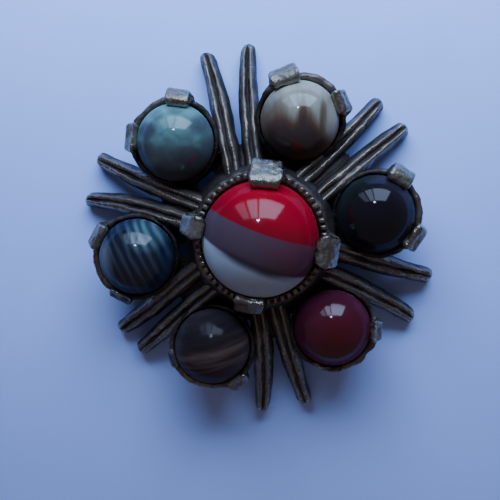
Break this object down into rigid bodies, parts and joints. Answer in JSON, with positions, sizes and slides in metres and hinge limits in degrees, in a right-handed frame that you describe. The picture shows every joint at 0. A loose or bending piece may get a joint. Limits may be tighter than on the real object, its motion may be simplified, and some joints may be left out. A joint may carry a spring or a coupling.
{
  "type": "jewelled brooch",
  "caption": "Round starburst brooch of glass cabochons in small cups round a beaded centre setting, with ridged spikes and a pin on the back.",
  "frame": {"origin": "on the surface that the brooch lies on, under the middle of its outline", "axes": "+Z out of the front of the brooch, +Y along one pair of spikes, +X towards the black stone"},
  "size_m": [0.0321, 0.0352, 0.0105],
  "materials": {
    "setting": "antiqued",
    "brooch_pin": "antiqued",
    "centre_stone": "polished",
    "teal_stone": "polished",
    "cream_stone": "polished",
    "black_stone": "polished",
    "red_stone": "polished",
    "brown_stone": "polished",
    "blue_stone": "polished"
  },
  "bodies": {
    "root": {"setting": "setting", "brooch_pin": "brooch_pin", "centre_stone": "centre_stone", "teal_stone": "teal_stone", "cream_stone": "cream_stone", "black_stone": "black_stone", "red_stone": "red_stone", "brown_stone": "brown_stone", "blue_stone": "blue_stone"}
  },
  "joints": []
}
